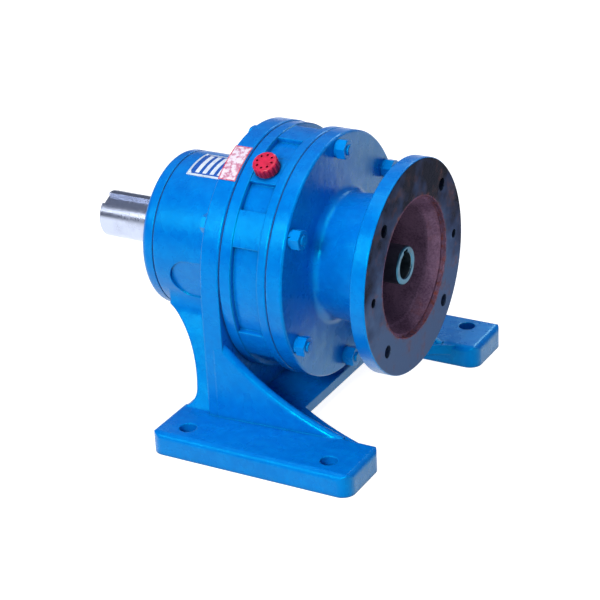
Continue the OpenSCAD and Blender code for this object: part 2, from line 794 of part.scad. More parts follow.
module breather_cap() {
    r = vent_d / 2;
    grips = 16;
    holes = 8;
    dome = 2.5;
    color("crimson") at_plug(vent_angle) difference() {
        rotate_extrude() polygon(concat(
            [[0, -vent_stem], [plug_thread_d / 2, -vent_stem], [plug_thread_d / 2, washer_t],
             [r - edge, washer_t], [r, washer_t + edge]],
            arc([r - dome, vent_h - dome], dome, 0, 90, 6), [[0, vent_h]]));
        polar(grips, r + 0.6) rod(1.5, -slack, vent_h + slack);
        polar(holes, r * 0.62) rod(1.2, vent_h - 4, vent_h + slack);
        rod(2, -vent_stem - slack, vent_h - 3);
    }
}

module plug_washer() {
    tube(plug_thread_d / 2 + seat_gap, plug_seat_r - 1.5, 0, washer_t);
}

module breather_washer() {
    color("dimgray") at_plug(vent_angle) plug_washer();
}

module drain_plug() {
    color("dimgray") at_plug(drain_angle) {
        rotate_extrude() polygon([[0, -vent_stem], [plug_thread_d / 2 - edge, -vent_stem],
            [plug_thread_d / 2, edge - vent_stem], [plug_thread_d / 2, washer_t],
            [plug_seat_r - 2, washer_t], [plug_seat_r - 2, washer_t + 2], [0, washer_t + 2]]);
        turned_hexagon(drain_af, washer_t + 1, washer_t + 9);
    }
}

module drain_washer() {
    color("peru") at_plug(drain_angle) plug_washer();
}

plate_t = 0.8;
plate_front = base_back - barrel_fillet - 3;
rivet_r = 1.4;

module nameplate() {
    r = barrel_d / 2;
    half = half_angle(plate_w, barrel_d);
    color("gainsboro") on_axis() difference() {
        rotate([0, 0, plate_angle - half]) rotate_extrude(angle = 2 * half) polygon([
            [r + seat_gap, plate_front - plate_len], [r + plate_t, plate_front - plate_len],
            [r + plate_t, plate_front], [r + seat_gap, plate_front]]);
        at_rivets() from(-rivet_depth) cylinder(r = rivet_r * 0.6 + seat_gap, h = 2 * rivet_depth);
    }
}

rivet_depth = 4;

// Frames of the four rivets, z outwards from the plate's face
module at_rivets() {
    r = barrel_d / 2 + plate_t;
    half = half_angle(plate_w - 6, barrel_d);
    for (a = [plate_angle - half, plate_angle + half],
         z = [plate_front - 3, plate_front - plate_len + 3])
        rotate([0, 0, a]) translate([r, 0, z]) rotate([0, 90, 0]) children();
}

module nameplate_rivets() {
    color("silver") on_axis() at_rivets() rotate_extrude() polygon(concat(
        [[0, -plate_t + seat_gap], [rivet_r * 0.6, -plate_t + seat_gap], [rivet_r * 0.6, 0.1],
         [rivet_r, 0.1]], arc([0, 0.1], rivet_r, 10, 90, 5)));
}

// ---- Oil seals ----------------------------------------------------------------------

// Ring with a deep groove behind its lip, open towards +z
module oil_seal(r_in, r_out, z0, z1) {
    w = z1 - z0;
    rotate_extrude() polygon([[r_in + 1, z0], [r_out, z0], [r_out, z1], [r_out - 2.5, z1],
        [r_out - 2.5, z0 + 2.5], [r_in + 3, z0 + 2.5], [r_in + 3, z1 - 1], [r_in + 1, z1 - 0.5],
        [r_in, z1 - w * 0.35], [r_in + 0.8, z0 + 2.5]]);
}

module output_oil_seal() {
    color("black") on_axis()
        oil_seal(out_seal_d / 2 + run_gap, out_seal_od / 2, out_seal_back, out_seal_front);
}

module input_oil_seal() {
    color("black") on_axis() mirror([0, 0, 1])
        oil_seal(hub_d / 2 + run_gap, in_seal_od / 2, -in_seal_front, -in_seal_back);
}

// ---- Ball bearings ------------------------------------------------------------------

function ball_r(bore_r, r) = (r - bore_r) * 0.29;
function ball_circle(bore_r, r) = (r + bore_r) / 2;
function ball_count(bore_r, r) =
    floor(PI * ball_circle(bore_r, r) / ball_r(bore_r, r) / 1.25);
race_gap = 0.1;

module outer_ring(bore_r, r, z0, w) {
    b = ball_r(bore_r, r);
    c = ball_circle(bore_r, r);
    from(z0) difference() {
        tube(c + b * 0.5, r, 0, w);
        from(w / 2) rotate_extrude() translate([c, 0]) circle(r = b + race_gap);
    }
}

module inner_ring(bore_r, r, z0, w) {
    b = ball_r(bore_r, r);
    c = ball_circle(bore_r, r);
    from(z0) difference() {
        tube(bore_r + seat_gap, c - b * 0.5, 0, w);
        from(w / 2) rotate_extrude() translate([c, 0]) circle(r = b + race_gap);
    }
}

module balls(bore_r, r, z0, w) {
    n = ball_count(bore_r, r);
    from(z0 + w / 2) polar(n, ball_circle(bore_r, r)) sphere(r = ball_r(bore_r, r));
}

out_brg_starts = [rear_brg, front_brg - out_brg_w];

module output_bearing_outer_rings() {
    color("silver") on_axis() for (z = out_brg_starts)
        outer_ring(out_journal_d / 2, out_brg_d / 2, z, out_brg_w);
}

module output_bearing_inner_rings() {
    color("silver") on_axis() for (z = out_brg_starts)
        inner_ring(out_journal_d / 2, out_brg_d / 2, z, out_brg_w);
}

module output_bearing_balls() {
    color("white") on_axis() for (z = out_brg_starts)
        balls(out_journal_d / 2, out_brg_d / 2, z, out_brg_w);
}

module input_bearing_outer_ring() {
    color("silver") on_axis() outer_ring(in_brg_bore / 2, in_brg_d / 2, in_brg_back, in_brg_w);
}

module input_bearing_inner_ring() {
    color("silver") on_axis() inner_ring(in_brg_bore / 2, in_brg_d / 2, in_brg_back, in_brg_w);
}

module input_bearing_balls() {
    color("white") on_axis() balls(in_brg_bore / 2, in_brg_d / 2, in_brg_back, in_brg_w);
}

module pilot_bearing_outer_ring() {
    color("silver") on_axis() outer_ring(pilot_bore / 2, pilot_d / 2, pilot_back, pilot_w);
}

module pilot_bearing_inner_ring() {
    color("silver") on_axis() inner_ring(pilot_bore / 2, pilot_d / 2, pilot_back, pilot_w);
}

module pilot_bearing_balls() {
    color("white") on_axis() balls(pilot_bore / 2, pilot_d / 2, pilot_back, pilot_w);
}

// ---- Ring pins ----------------------------------------------------------------------

module ring_pins() {
    color("silver") on_axis() polar(pins, pin_circle_r) rod(ring_pin_r, pin_back, pin_front);
}

module ring_pin_sleeves() {
    color("gainsboro") on_axis() polar(pins, pin_circle_r)
        tube(ring_pin_r + run_gap, sleeve_r, chamber_back + 0.2, chamber_front - 0.2);
}

// ---- Output shaft -------------------------------------------------------------------

journal_back = rear_brg - snap_t - 1.4;

module output_shaft() {
    journal_r = out_journal_d / 2;
    tip_edge = 1.5;
    shoulder = 5.5;
    color("lightgray") on_axis() difference() {
        rotate([0, 0, out_key_angle]) difference() {
            rotate_extrude() polygon([
                [0, shaft_tip], [out_d / 2 - tip_edge, shaft_tip],
                [out_d / 2, shaft_tip + tip_edge], [out_d / 2, cap_back - edge],
                [out_seal_d / 2, cap_back - edge], [out_seal_d / 2, journal_back],
                [journal_r, journal_back], [journal_r, front_brg],
                [journal_r + shoulder, front_brg], [journal_r + shoulder, carrier_back],
                [carrier_r - edge, carrier_back], [carrier_r, carrier_back + edge],
                [carrier_r, carrier_front - edge], [carrier_r - edge, carrier_front],
                [pilot_d / 2 + seat_gap, carrier_front], [pilot_d / 2 + seat_gap, pilot_back],
                [pilot_d / 2 - 6, pilot_back], [pilot_d / 2 - 6, pilot_back - 3],
                [0, pilot_back - 3]]);
            tube(journal_r - snap_depth, journal_r + slack, rear_brg - snap_t, rear_brg);
            translate([out_d / 2 - out_key_depth, 0, 0]) keyway_end();
        }
        from(carrier_back - slack) polar(out_pins, out_pin_circle_r)
            cylinder(r = out_pin_d / 2 + seat_gap / 2, h = carrier_t + 2 * slack);
    }
}

// Keyway open at the shaft's tip, with a round inner end
module keyway_end() {
    w = out_key_w;
    rotate([0, 90, 0]) linear_extrude(out_d / 2) {
        translate([-shaft_tip - out_key_len + w / 2, -w / 2]) square([out_key_len + slack, w]);
        translate([-shaft_tip - out_key_len + w / 2, 0]) circle(r = w / 2);
    }
}

module output_bearing_spacer() {
    color("silver") on_axis() tube(out_journal_d / 2 + seat_gap, out_journal_d / 2 + 4,
        rear_brg + out_brg_w, front_brg - out_brg_w);
}

// Open snap ring that sits in a groove of depth snap_depth
module snap_ring(shaft_r, z0, z1) {
    difference() {
        tube(shaft_r - snap_depth, shaft_r + snap_reach, z0, z1);
        translate([0, -shaft_r / 4, z0 - slack])
            cube([shaft_r * 2, shaft_r / 2, z1 - z0 + 2 * slack]);
    }
}

module output_snap_ring() {
    color("dimgray") on_axis() snap_ring(out_journal_d / 2, rear_brg - snap_t, rear_brg);
}

module output_pins() {
    color("silver") on_axis() polar(out_pins, out_pin_circle_r)
        rotate_extrude() polygon([[0, carrier_back], [out_pin_d / 2, carrier_back],
            [out_pin_d / 2, chamber_front + 0.5 - edge],
            [out_pin_d / 2 - edge, chamber_front + 0.5], [0, chamber_front + 0.5]]);
}

module output_pin_rollers() {
    color("gainsboro") on_axis() polar(out_pins, out_pin_circle_r)
        tube(out_pin_d / 2 + run_gap, roller_r, carrier_front + 0.3, chamber_front - 0.3);
}

// ---- Cycloid discs ------------------------------------------------------------------

// One disc, centred on its own journal; both discs are this same part
module cycloid_disc(mid) {
    hole_r = roller_r + ecc + mesh_gap;
    translate([ecc, 0, mid - disc_t / 2]) difference() {
        linear_extrude(disc_t) polygon(disc_outline());
        rod(disc_bore_r, -slack, disc_t + slack);
        polar(out_pins, out_pin_circle_r) rod(hole_r, -slack, disc_t + slack);
    }
}

module cycloid_disc_a() {
    color("darkgray") on_axis() cycloid_disc(disc_a_mid);
}

module cycloid_disc_b() {
    color("gray") on_axis() rotate([0, 0, 180]) cycloid_disc(disc_b_mid);
}

spacer_collar_r = ecc_journal_r + 6.5;

module disc_spacer() {
    half = disc_gap / 2 - 0.2;
    color("silver") on_axis() tube(spacer_collar_r + seat_gap,
        out_pin_circle_r - roller_r - 0.5, ring_mid - half, ring_mid + half);
}

// ---- Eccentric sleeve with its roller bearings --------------------------------------

module eccentric_sleeve() {
    seat_r = ecc_seat_d / 2 + seat_gap;
    half = disc_gap / 2 - 0.5;
    color("silver") on_axis() difference() {
        union() {
            translate([ecc, 0, 0]) rod(ecc_journal_r, sleeve_back, ring_mid);
            translate([-ecc, 0, 0]) rod(ecc_journal_r, ring_mid, sleeve_front);
            rod(spacer_collar_r, ring_mid - half, ring_mid + half);
        }
        rod(seat_r, sleeve_back - slack, sleeve_front + slack);
        translate([-(key_w + 2 * seat_gap) / 2, 0, sleeve_back - slack])
            cube([key_w + 2 * seat_gap, key_top + seat_gap,
                  sleeve_front - sleeve_back + 2 * slack]);
    }
}

key_top = ecc_seat_d / 2 - shaft_keyway + key_h;
key_back = ring_mid - key_len / 2;

module eccentric_key() {
    color("dimgray") on_axis() translate([-key_w / 2, key_top - key_h, key_back])
        cube([key_w, key_h, key_len]);
}

// Frames of the two journals' middles: side is +1 for disc a and -1 for disc b
module at_journals() {
    translate([ecc, 0, disc_a_mid]) children();
    translate([-ecc, 0, disc_b_mid]) children();
}

needle_half = disc_t / 2 - 1;

module eccentric_rollers() {
    color("silver") on_axis() at_journals() polar(needles, needle_circle_r)
        rod(needle_r, -needle_half, needle_half);
}

module roller_cages() {
    wall = needle_r * 0.45;
    color("goldenrod") on_axis() at_journals() difference() {
        tube(needle_circle_r - wall, needle_circle_r + wall, -needle_half - 0.9, needle_half + 0.9);
        polar(needles, needle_circle_r) rod(needle_r + 0.15, -needle_half - 0.1, needle_half + 0.1);
    }
}

// ---- Input shaft --------------------------------------------------------------------

in_journal_front = in_seal_back - 1.1;

module input_shaft() {
    seat_r = ecc_seat_d / 2;
    brg_r = in_brg_bore / 2;
    bore_r = hub_bore_d / 2;
    bore_end = hub_end - hub_bore_len;
    color("slategray") on_axis() difference() {
        rotate_extrude() polygon([
            [0, pilot_back + 0.3], [pilot_bore / 2 - edge, pilot_back + 0.3],
            [pilot_bore / 2, pilot_back + 0.3 + edge], [pilot_bore / 2, pilot_front],
            [seat_r, pilot_front], [seat_r, sleeve_front], [in_collar_r, sleeve_front],
            [in_collar_r, in_brg_back], [brg_r, in_brg_back], [brg_r, in_journal_front],
            [hub_d / 2, in_journal_front], [hub_d / 2, hub_end - edge],
            [hub_d / 2 - edge, hub_end], [bore_r + edge, hub_end], [bore_r, hub_end - edge],
            [bore_r, bore_end], [0, bore_end - bore_r * 0.5]]);
        tube(brg_r - snap_depth, brg_r + slack, in_brg_front, in_brg_front + snap_t);
        tube(seat_r - snap_depth, seat_r + slack, sleeve_back - snap_t, sleeve_back);
        translate([-key_w / 2, key_top - key_h, key_back])
            cube([key_w, key_h, key_len]);
        translate([0, -hub_key_w / 2, bore_end + 3])
            cube([bore_r + hub_key_depth, hub_key_w, hub_bore_len]);
    }
}

module input_snap_rings() {
    color("dimgray") on_axis() {
        snap_ring(in_brg_bore / 2, in_brg_front, in_brg_front + snap_t);
        snap_ring(ecc_seat_d / 2, sleeve_back - snap_t, sleeve_back);
    }
}

base_housing();
pin_ring_housing();
input_cover();
output_end_cap();
gaskets();
tie_bolts();
spring_washers();
tie_nuts();
end_cap_screws();
breather_cap();
breather_washer();
drain_plug();
drain_washer();
nameplate();
nameplate_rivets();
output_oil_seal();
input_oil_seal();
output_bearing_outer_rings();
output_bearing_inner_rings();
output_bearing_balls();
input_bearing_outer_ring();
input_bearing_inner_ring();
input_bearing_balls();
pilot_bearing_outer_ring();
pilot_bearing_inner_ring();
pilot_bearing_balls();
ring_pins();
ring_pin_sleeves();
output_shaft();
output_bearing_spacer();
output_snap_ring();
output_pins();
output_pin_rollers();
cycloid_disc_a();
cycloid_disc_b();
disc_spacer();
eccentric_sleeve();
eccentric_rollers();
roller_cages();
input_shaft();
eccentric_key();
input_snap_rings();
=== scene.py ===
"""Looks of a foot-mounted cycloidal reducer: finishes, paper label, floor, light and camera."""
import json

from math import atan2, cos, pi, radians, sin

import bpy
from mathutils import Matrix, Vector


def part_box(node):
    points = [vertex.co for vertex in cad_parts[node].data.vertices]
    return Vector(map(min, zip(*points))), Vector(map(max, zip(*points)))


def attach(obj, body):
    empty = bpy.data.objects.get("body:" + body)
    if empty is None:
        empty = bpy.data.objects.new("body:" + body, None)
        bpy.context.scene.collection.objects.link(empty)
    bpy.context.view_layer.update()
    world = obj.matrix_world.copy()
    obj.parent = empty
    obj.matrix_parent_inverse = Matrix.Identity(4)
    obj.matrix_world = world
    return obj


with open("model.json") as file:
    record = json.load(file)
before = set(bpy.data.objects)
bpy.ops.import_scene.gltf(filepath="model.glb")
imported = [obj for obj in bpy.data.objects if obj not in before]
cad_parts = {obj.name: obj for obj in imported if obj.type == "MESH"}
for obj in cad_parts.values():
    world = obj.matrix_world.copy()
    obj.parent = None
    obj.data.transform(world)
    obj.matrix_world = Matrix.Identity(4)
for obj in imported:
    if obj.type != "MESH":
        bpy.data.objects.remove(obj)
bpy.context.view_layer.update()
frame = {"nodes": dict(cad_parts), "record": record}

# ---- Places taken from the frame (metres) -------------------------------------------

MOUNTS = {mount["name"]: mount for mount in frame["record"]["mounts"]}
AXIS_Z = MOUNTS["motor_bore"]["pos_m"][2]
MOTOR_FACE = MOUNTS["motor_face"]["pos_m"][0]
SPIGOT_R = MOUNTS["motor_spigot"]["dims"]["r_mm"] / 1000
HUB_BORE_R = MOUNTS["motor_bore"]["dims"]["r_mm"] / 1000
HUB_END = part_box("input_shaft")[1].x
NUT_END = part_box("tie_nuts")[1].x
PLATE_LOW, PLATE_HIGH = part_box("nameplate")
RING_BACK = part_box("pin_ring_housing")[0].x
DISC_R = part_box("base_housing")[1].z - AXIS_Z


def round_extent(name):
    """Largest distance of a node from the shafts' axis, and its first and last turn from the top."""
    vertices = frame["nodes"][name].data.vertices
    points = [Vector((vertex.co.z - AXIS_Z, -vertex.co.y)) for vertex in vertices]
    turns = [atan2(point.y, point.x) for point in points]
    return max(point.length for point in points), min(turns), max(turns)


PLATE_R, PLATE_START, PLATE_STOP = round_extent("nameplate")
CAP_TOP_R = round_extent("breather_cap")[0]

# ---- Small helpers for node trees ---------------------------------------------------


def new_material(name):
    """A node material, its tree and its Principled shader."""
    material = bpy.data.materials.new(name)
    material.use_nodes = True
    tree = material.node_tree
    return material, tree, tree.nodes["Principled BSDF"]


def join(tree, target, value):
    """Sets an input socket to a plain value, or links a socket to it."""
    if isinstance(value, bpy.types.NodeSocket):
        tree.links.new(value, target)
    else:
        target.default_value = value


def node(tree, kind, inputs=None, **settings):
    """A node with its settings; inputs maps an input's name or number to a value or a socket."""
    made = tree.nodes.new(kind)
    for key, value in settings.items():
        setattr(made, key, value)
    for key, value in (inputs or {}).items():
        join(tree, made.inputs[key], value)
    return made


def maths(tree, operation, a, b=0.0):
    return node(tree, "ShaderNodeMath", {0: a, 1: b}, operation=operation).outputs[0]


def remap(tree, value, low, high, to_low=0.0, to_high=1.0):
    """Linear from low..high to to_low..to_high, clamped."""
    inputs = {"Value": value, "From Min": low, "From Max": high, "To Min": to_low, "To Max": to_high}
    return node(tree, "ShaderNodeMapRange", inputs).outputs["Result"]


def mix_colour(tree, factor, a, b):
    return node(tree, "ShaderNodeMix", {0: factor, 6: a, 7: b}, data_type="RGBA").outputs[2]


def mix_value(tree, factor, a, b):
    return node(tree, "ShaderNodeMix", {0: factor, 2: a, 3: b}, data_type="FLOAT").outputs[0]


def mix_vector(tree, factor, a, b):
    return node(tree, "ShaderNodeMix", {0: factor, 4: a, 5: b}, data_type="VECTOR").outputs[1]


def place(tree):
    """Position in the part's own frame, in metres."""
    return node(tree, "ShaderNodeTexCoord").outputs["Object"]


def round_place(tree):
    """Distance along the shafts, distance from their axis, and turn about it from the top."""
    split = node(tree, "ShaderNodeSeparateXYZ", {0: place(tree)})
    x, y = split.outputs["X"], split.outputs["Y"]
    up = maths(tree, "SUBTRACT", split.outputs["Z"], AXIS_Z)
    squares = maths(tree, "ADD", maths(tree, "MULTIPLY", y, y), maths(tree, "MULTIPLY", up, up))
    minus_y = maths(tree, "MULTIPLY", y, -1.0)
    return x, maths(tree, "SQRT", squares), maths(tree, "ARCTAN2", minus_y, up)


def noise(tree, scale, detail=2.0, roughness=0.5, where=None):
    inputs = {"Vector": where or place(tree), "Scale": scale, "Detail": detail, "Roughness": roughness}
    return node(tree, "ShaderNodeTexNoise", inputs).outputs["Fac"]


def soft_edges(tree, radius):
    """Surface normal with the sharp edges rounded off."""
    return node(tree, "ShaderNodeBevel", {"Radius": radius}, samples=6).outputs["Normal"]


def bump(tree, height, distance, normal, strength=1.0):
    inputs = {"Height": height, "Distance": distance, "Strength": strength, "Normal": normal}
    return node(tree, "ShaderNodeBump", inputs).outputs["Normal"]


def cavity(tree, reach):
    """1 in the open, towards 0 in narrow corners."""
    return node(tree, "ShaderNodeAmbientOcclusion", {"Distance": reach}, samples=6).outputs["AO"]


def edge_factor(tree, normal):
    """0 on flat faces, rising where the rounded normal leaves the true one."""
    true_normal = node(tree, "ShaderNodeNewGeometry").outputs["Normal"]
    dot = node(tree, "ShaderNodeVectorMath", {0: normal, 1: true_normal}, operation="DOT_PRODUCT")
    return remap(tree, dot.outputs["Value"], 1.0, 0.9)


# ---- Gloss paint --------------------------------------------------------------------

WHITE = (1.0, 1.0, 1.0, 1)
PAINT = (0.0, 0.142, 0.56, 1)
PAINT_THIN = (0.0, 0.25, 0.72, 1)
PAINT_THICK = (0.0, 0.105, 0.46, 1)
# The next two values paint shade into corners and recesses: its deep blue, and how far the search for
# closed-in space reaches.
PAINT_CREASE_SHADE = (0.0, 0.05, 0.25, 1)
PAINT_SHADE_REACH = 0.007
PAINT_SPECULAR = 0.8
PAINT_IOR = 1.5
BARE_SPECULAR = 0.2
PAINT_TINT = (0.0, 0.9, 1.0, 1)
BARE_TINT = (0.2, 0.2, 0.28, 1)


def paint_layers(tree, edge_radius=0.002, cast=1.0):
    """Colour, roughness and normal of brushed gloss paint over a casting, with painted shade in the
    creases and a partly painted highlight on the edges.
    """
    normal = soft_edges(tree, edge_radius)
    patches = remap(tree, noise(tree, 22.0, 3.0), 0.35, 0.7)
    streaks = remap(tree, noise(tree, 130.0, 4.0, 0.6), 0.4, 0.75)
    colour = mix_colour(tree, maths(tree, "MULTIPLY", patches, 0.5), PAINT, PAINT_THICK)
    colour = mix_colour(tree, maths(tree, "MULTIPLY", streaks, 0.35), colour, PAINT_THIN)
    # Lighter paint on the rounded edges: partly paint worn thin there, partly a painted highlight where
    # the edges catch the light.
    worn = maths(tree, "MULTIPLY", edge_factor(tree, normal), 0.5)
    colour = mix_colour(tree, worn, colour, PAINT_THIN)
    # Darker paint where the surface is closed in, in corners, recesses and on pocket walls: painted
    # shade.
    crease_shade = remap(tree, cavity(tree, PAINT_SHADE_REACH), 0.3, 0.8, 0.9, 0.0)
    colour = mix_colour(tree, crease_shade, colour, PAINT_CREASE_SHADE)
    gloss = remap(tree, noise(tree, 60.0, 3.0), 0.3, 0.7, 0.22, 0.36)
    lumps = bump(tree, noise(tree, 55.0, 2.0), 0.0011 * cast, normal, 0.5)
    sand = bump(tree, noise(tree, 420.0, 2.0, 0.5), 0.00012 * cast, lumps, 0.5)
    return colour, gloss, bump(tree, noise(tree, 1300.0, 1.0), 0.00003, sand, 0.7)


def finish_shader(tree, shader, colour, roughness, normal, metallic=0.0, specular=0.5):
    join(tree, shader.inputs["Base Color"], colour)
    join(tree, shader.inputs["Roughness"], roughness)
    join(tree, shader.inputs["Normal"], normal)
    join(tree, shader.inputs["Metallic"], metallic)
    join(tree, shader.inputs["Specular IOR Level"], specular)


def paint_sheen(tree, shader, tint=PAINT_TINT):
    """Strong cyan sheen of wet gloss paint."""
    join(tree, shader.inputs["IOR"], PAINT_IOR)
    join(tree, shader.inputs["Specular Tint"], tint)


def make_blue_paint():
    material, tree, shader = new_material("blue_paint")
    colour, gloss, normal = paint_layers(tree)
    finish_shader(tree, shader, colour, gloss, normal, specular=PAINT_SPECULAR)
    paint_sheen(tree, shader)
    return material


# ---- Cover casting: paint outside, bare iron on the motor face, primer in the bell ---

IRON = (0.085, 0.13, 0.22, 1)
IRON_DARK = (0.012, 0.02, 0.04, 1)
PRIMER = (0.24, 0.145, 0.23, 1)
PRIMER_DARK = (0.085, 0.045, 0.085, 1)
RUST = (0.12, 0.038, 0.032, 1)
RUST_BRIGHT = (0.27, 0.065, 0.038, 1)
FACE_SKIN = 0.0003
BELL_WALL_R = 0.0577
MOUTH_X = MOTOR_FACE - 0.0148
MOUTH_R = SPIGOT_R + 0.001
FLANGE_T = 0.015
FLANGE_R = 0.1
FLANGE_RIM = 0.002
RUST_RING = 0.0045
RUST_DEPTH = 0.0065
BARE_EDGE_R = 0.0005


def step_up(tree, value, edge):
    return maths(tree, "GREATER_THAN", value, edge)


def bell_zones(tree, x, far):
    """Masks of the bare motor face with its drilled holes and of the space inside the bell."""
    face = step_up(tree, x, MOTOR_FACE - FACE_SKIN)
    limit = mix_value(tree, step_up(tree, x, MOUTH_X), BELL_WALL_R, MOUTH_R)
    inside = maths(tree, "LESS_THAN", far, limit)
    drilled = maths(tree, "MULTIPLY", step_up(tree, x, MOTOR_FACE - FLANGE_T + FACE_SKIN),
                    maths(tree, "LESS_THAN", far, FLANGE_R - FLANGE_RIM))
    return maths(tree, "MAXIMUM", face, drilled), inside


def rust_mask(tree, x, far):
    """Rust round the spigot step, in loose blotches on the face, and along the mouth."""
    off_step = maths(tree, "ABSOLUTE", maths(tree, "SUBTRACT", far, SPIGOT_R))
    ring = remap(tree, off_step, 0.0, RUST_RING, 1.0, 0.0)
    blotches = remap(tree, noise(tree, 45.0, 6.0, 0.7), 0.53, 0.7)
    specks = remap(tree, noise(tree, 210.0, 4.0, 0.6), 0.45, 0.7)
    near_mouth = step_up(tree, x, MOTOR_FACE - RUST_DEPTH)
    ring = maths(tree, "MULTIPLY", maths(tree, "MULTIPLY", ring, specks), near_mouth)
    return maths(tree, "MAXIMUM", ring, maths(tree, "MULTIPLY", blotches, 0.45))


def turning_marks(tree, along, pitch):
    """Fine wave along one measure, from -1 to 1, shifted a little by noise."""
    wobble = maths(tree, "MULTIPLY", noise(tree, 90.0, 2.0), 0.6)
    phase = maths(tree, "ADD", maths(tree, "MULTIPLY", along, 2 * pi / pitch), wobble)
    return maths(tree, "SINE", phase)


def make_cover_casting():
    material, tree, shader = new_material("cover_casting")
    x, far, _ = round_place(tree)
    face, inside = bell_zones(tree, x, far)
    paint_colour, paint_gloss, paint_normal = paint_layers(tree)
    rust = rust_mask(tree, x, far)
    rust_colour = mix_colour(tree, remap(tree, noise(tree, 300.0, 3.0), 0.4, 0.65), RUST, RUST_BRIGHT)

    # Motor face darker towards the top and lighter towards the bottom: a painted reflection of the pale
    # floor, folded into the random stains.
    height = node(tree, "ShaderNodeSeparateXYZ", {0: place(tree)}).outputs["Z"]
    painted_low_reflection = remap(tree, height, AXIS_Z - SPIGOT_R, AXIS_Z + SPIGOT_R, -0.28, 0.2)
    stains = remap(tree, maths(tree, "ADD", noise(tree, 26.0, 4.0, 0.6), painted_low_reflection), 0.35, 0.7)
    iron = mix_colour(tree, rust, mix_colour(tree, stains, IRON, IRON_DARK), rust_colour)
    grain = maths(tree, "MULTIPLY", maths(tree, "SUBTRACT", noise(tree, 520.0, 2.0, 0.7), 0.5), 0.8)
    darkening = remap(tree, maths(tree, "ADD", noise(tree, 30.0, 4.0, 0.6), grain), 0.3, 0.75)
    primer = mix_colour(tree, darkening, PRIMER, PRIMER_DARK)
    mouth_rust = maths(tree, "MULTIPLY", rust, step_up(tree, x, MOUTH_X))
    primer = mix_colour(tree, mouth_rust, primer, rust_colour)

    normal = soft_edges(tree, BARE_EDGE_R)
    marks = bump(tree, turning_marks(tree, far, 0.0011), 0.00002, normal, 0.6)
    face_normal = bump(tree, noise(tree, 260.0, 4.0), 0.00008, marks, 0.5)
    primer_normal = bump(tree, noise(tree, 330.0, 4.0, 0.6), 0.0003, normal, 0.7)

    bare = mix_colour(tree, inside, iron, primer)
    zone = maths(tree, "MAXIMUM", face, inside)
    colour = mix_colour(tree, zone, paint_colour, bare)
    bare_rough = mix_value(tree, inside, mix_value(tree, rust, 0.36, 0.7), 0.62)
    roughness = mix_value(tree, zone, paint_gloss, bare_rough)
    clean = maths(tree, "SUBTRACT", 0.75, maths(tree, "MULTIPLY", rust, 0.7))
    metallic = maths(tree, "MULTIPLY", face, clean)
    bare_normal = mix_vector(tree, inside, face_normal, primer_normal)
    all_normal = mix_vector(tree, zone, paint_normal, bare_normal)
    specular = mix_value(tree, zone, PAINT_SPECULAR, BARE_SPECULAR)
    finish_shader(tree, shader, colour, roughness, all_normal, metallic, specular)
    paint_sheen(tree, shader, mix_colour(tree, zone, PAINT_TINT, BARE_TINT))
    return material


# ---- Fasteners, cap and the finishes that only have stains ---------------------------

FASTENER_EDGE_R = 0.0006
FASTENER_CAST = 0.3
THREAD_PITCH = 0.0015
THREAD_DEPTH = 0.0003
NUT_SKIN = 0.0002
RED = (0.56, 0.01, 0.055, 1)
RED_WORN = (0.40, 0.006, 0.035, 1)
# The next two reds are painted shade: in narrow corners, and on the cap's lower sides.
RED_CREASE_SHADE = (0.12, 0.0, 0.015, 1)
RED_SIDE_SHADE = (0.17, 0.002, 0.02, 1)
# Bright red for the painted highlight on the cap's edges.
RED_EDGE_HIGHLIGHT = (0.85, 0.06, 0.13, 1)
RED_SHADE_REACH = 0.009
# Distances from the axis over which the cap's lower sides darken: painted shade.
SHADE_INNER, SHADE_OUTER = CAP_TOP_R - 0.006, CAP_TOP_R - 0.001


def make_painted_fastener():
    """Paint over hexagons, with the thread showing on the bolts' tips."""
    material, tree, shader = new_material("painted_fastener")
    colour, gloss, normal = paint_layers(tree, FASTENER_EDGE_R, FASTENER_CAST)
    x = round_place(tree)[0]
    tip = step_up(tree, x, NUT_END - NUT_SKIN)
    thread = maths(tree, "MULTIPLY", turning_marks(tree, x, THREAD_PITCH), tip)
    colour = mix_colour(tree, 0.35, colour, PAINT_THIN)
    normal = bump(tree, thread, THREAD_DEPTH, normal)
    finish_shader(tree, shader, colour, gloss, normal, specular=PAINT_SPECULAR)
    paint_sheen(tree, shader)
    return material


def make_red_plastic():
    material, tree, shader = new_material("red_plastic")
    normal = soft_edges(tree, 0.0006)
    wear = remap(tree, noise(tree, 180.0, 4.0), 0.4, 0.7)
    colour = mix_colour(tree, wear, RED, RED_WORN)
    # Darker red in narrow corners and gaps: painted shade.
    crease_shade = remap(tree, cavity(tree, RED_SHADE_REACH), 0.2, 0.8, 0.9, 0.0)
    colour = mix_colour(tree, crease_shade, colour, RED_CREASE_SHADE)
    # The cap's sides, more than a few millimetres below its top, darkened towards deep red: painted
    # shade.
    darkening = remap(tree, round_place(tree)[1], SHADE_INNER, SHADE_OUTER, 0.85, 0.0)
    colour = mix_colour(tree, darkening, colour, RED_SIDE_SHADE)
    # Brighter red on the rounded edges: painted highlight.
    edges = maths(tree, "MULTIPLY", edge_factor(tree, normal), 0.4)
    colour = mix_colour(tree, edges, colour, RED_EDGE_HIGHLIGHT)
    gloss = remap(tree, noise(tree, 300.0, 3.0), 0.3, 0.7, 0.28, 0.42)
    normal = bump(tree, noise(tree, 700.0, 2.0), 0.00005, normal)
    finish_shader(tree, shader, colour, gloss, normal, specular=0.3)
    return material


